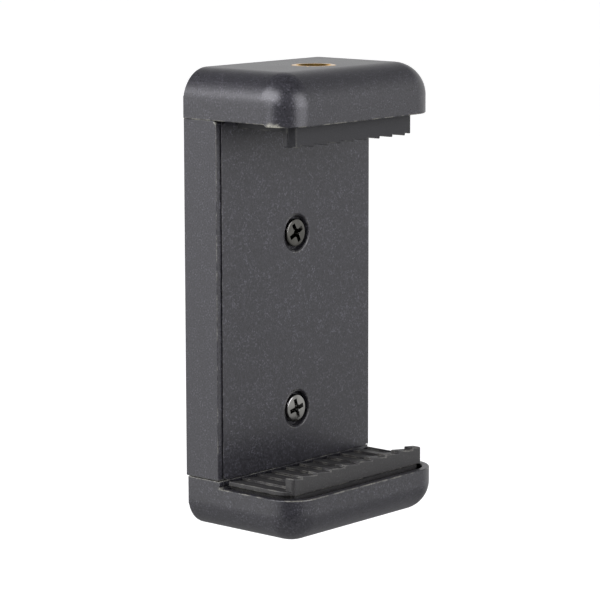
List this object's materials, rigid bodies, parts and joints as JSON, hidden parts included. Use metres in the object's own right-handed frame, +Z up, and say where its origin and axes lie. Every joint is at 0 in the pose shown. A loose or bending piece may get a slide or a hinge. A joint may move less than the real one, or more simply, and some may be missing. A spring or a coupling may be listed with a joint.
{
  "type": "tripod phone mount adapter",
  "caption": "Spring-loaded phone clamp with a fixed upper jaw, a sliding lower jaw, ribbed rubber pads and a brass tripod thread in its top.",
  "frame": {"origin": "centre of the bounding box in plan, at the foot of the closed clamp", "axes": "+X across the clamp along the length of the held phone, -Y towards the phone side, +Z up towards the tripod thread; travel of the sliding jaw is along -Z"},
  "size_m": [0.042, 0.0256, 0.0826],
  "materials": {
    "black_plastic": "fine satin mould texture",
    "rubber": "matte",
    "brass": "turned",
    "black_screw": "black nickel plate",
    "zinc_steel": "zinc plate",
    "spring_wire": "drawn wire"
  },
  "bodies": {
    "clamp": {"rear_housing": "black_plastic", "front_plate": "black_plastic", "plate_screw_upper": "black_screw", "plate_screw_lower": "black_screw", "fixed_jaw": "black_plastic", "jaw_screw_left": "zinc_steel", "jaw_screw_right": "zinc_steel", "threaded_insert": "brass", "fixed_jaw_pad": "rubber", "seat_washer_left": "zinc_steel", "seat_washer_right": "zinc_steel"},
    "slider": {"sliding_jaw": "black_plastic", "sliding_jaw_pad": "rubber", "guide_rod_left": "zinc_steel", "guide_rod_right": "zinc_steel", "spring_left": "spring_wire", "spring_right": "spring_wire", "thrust_washer_left": "zinc_steel", "thrust_washer_right": "zinc_steel", "rod_clip_left": "spring_wire", "rod_clip_right": "spring_wire"}
  },
  "joints": [
    {"name": "jaw_slide", "type": "slide", "parent": "clamp", "child": "slider", "axis": [0, 0, -1], "range_m": [0, 0.025], "stiffness_N_per_m": 350, "springref_m": -0.02, "deforming": ["spring_left", "spring_right"]}
  ]
}
